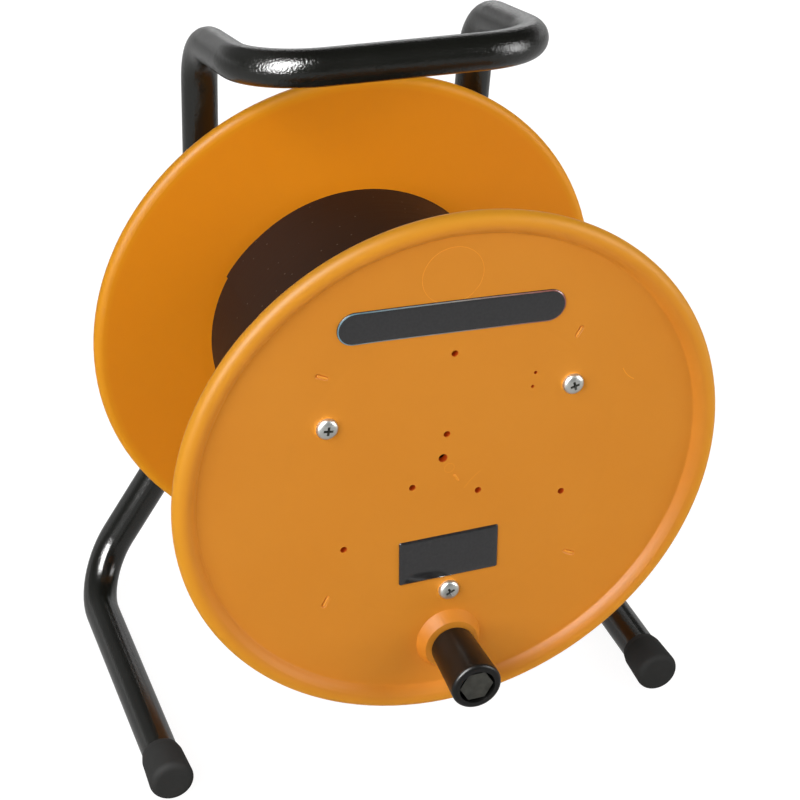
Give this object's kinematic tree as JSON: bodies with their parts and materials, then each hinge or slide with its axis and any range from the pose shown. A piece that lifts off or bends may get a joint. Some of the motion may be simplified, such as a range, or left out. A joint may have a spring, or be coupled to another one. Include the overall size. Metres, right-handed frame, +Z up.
{
  "type": "cable reel on a tube stand",
  "caption": "Empty plastic cable reel: orange drum with round rims and a winding knob, turning on a stub axle in a black bent tube stand with a carry handle.",
  "frame": {"origin": "on the floor, under the middle of the reel's box", "axes": "+Z up, +Y from the front flange to the back, +X to the right seen from the front"},
  "size_m": [0.2568, 0.2096, 0.315],
  "materials": {
    "powder_coated_steel": "glossy black powder coat",
    "rubber": "matte",
    "orange_plastic": "satin moulded",
    "black_sleeve": "satin",
    "knob_plastic": "satin moulded",
    "blackened_steel": "blackened",
    "zinc_plated_steel": "bright zinc plate"
  },
  "bodies": {
    "stand": {"frame_tube": "powder_coated_steel", "foot_cap_left": "rubber", "foot_cap_right": "rubber", "axle_plate": "powder_coated_steel", "axle_bolt": "zinc_plated_steel", "axle_washer": "zinc_plated_steel", "axle_spacer": "zinc_plated_steel", "axle_nut": "zinc_plated_steel"},
    "drum": {"rear_flange": "orange_plastic", "front_flange": "orange_plastic", "drum_core": "black_sleeve", "front_screw_1": "zinc_plated_steel", "front_screw_2": "zinc_plated_steel", "front_screw_3": "zinc_plated_steel", "rear_screw_1": "zinc_plated_steel", "rear_screw_2": "zinc_plated_steel", "rear_screw_3": "zinc_plated_steel", "knob_bolt": "blackened_steel", "knob_nut": "zinc_plated_steel"},
    "knob": {"winding_knob": "knob_plastic"}
  },
  "joints": [
    {"name": "drum_spin", "type": "hinge", "parent": "stand", "child": "drum", "pos_m": [0, -0.00156, 0.155], "axis": [0, 1, 0], "continuous": true},
    {"name": "knob_spin", "type": "hinge", "parent": "drum", "child": "knob", "pos_m": [0.0037, -0.08656, 0.06678], "axis": [0, -1, 0], "continuous": true}
  ]
}
